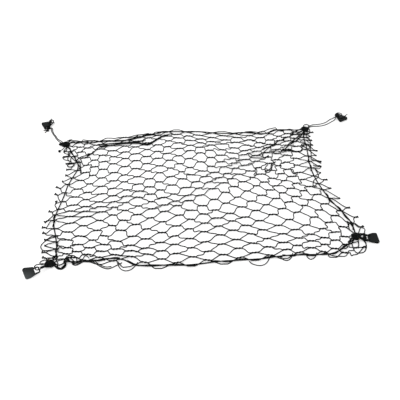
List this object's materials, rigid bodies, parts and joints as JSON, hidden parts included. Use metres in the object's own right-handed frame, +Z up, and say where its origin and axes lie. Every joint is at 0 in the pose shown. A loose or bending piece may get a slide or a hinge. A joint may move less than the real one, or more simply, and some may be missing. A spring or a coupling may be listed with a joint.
{
  "type": "car dog barrier net",
  "caption": "Slack black netting on cords gathered at its corners, with flat plastic hooks to hang it across a car.",
  "frame": {"origin": "on the floor, under the middle of the net and its hooks; the tie cords do not count", "axes": "+Z up; +X to the right along the front edge; +Y from the front edge to the back edge"},
  "size_m": [1.6114, 1.1127, 0.0497],
  "materials": {
    "netting": "knotless black polyester twine",
    "cord": "black braided cord",
    "hook_plastic": "dark green-grey moulded plastic, faint sheen"
  },
  "bodies": {
    "root": {"border_cord_back": "cord", "border_cord_front": "cord", "border_cord_left": "cord", "border_cord_right": "cord", "corner_knot_back_left": "cord", "corner_knot_back_right": "cord", "corner_knot_front_left": "cord", "corner_knot_front_right": "cord", "hook_back_left": "hook_plastic", "hook_back_right": "hook_plastic", "hook_front_left": "hook_plastic", "hook_front_right": "hook_plastic", "hook_knot": "cord", "netting": "netting", "stopper_tail": "cord", "tie_cord_back_left": "cord", "tie_cord_back_right": "cord", "tie_cord_front_left": "cord", "tie_cord_front_right": "cord"}
  },
  "joints": []
}
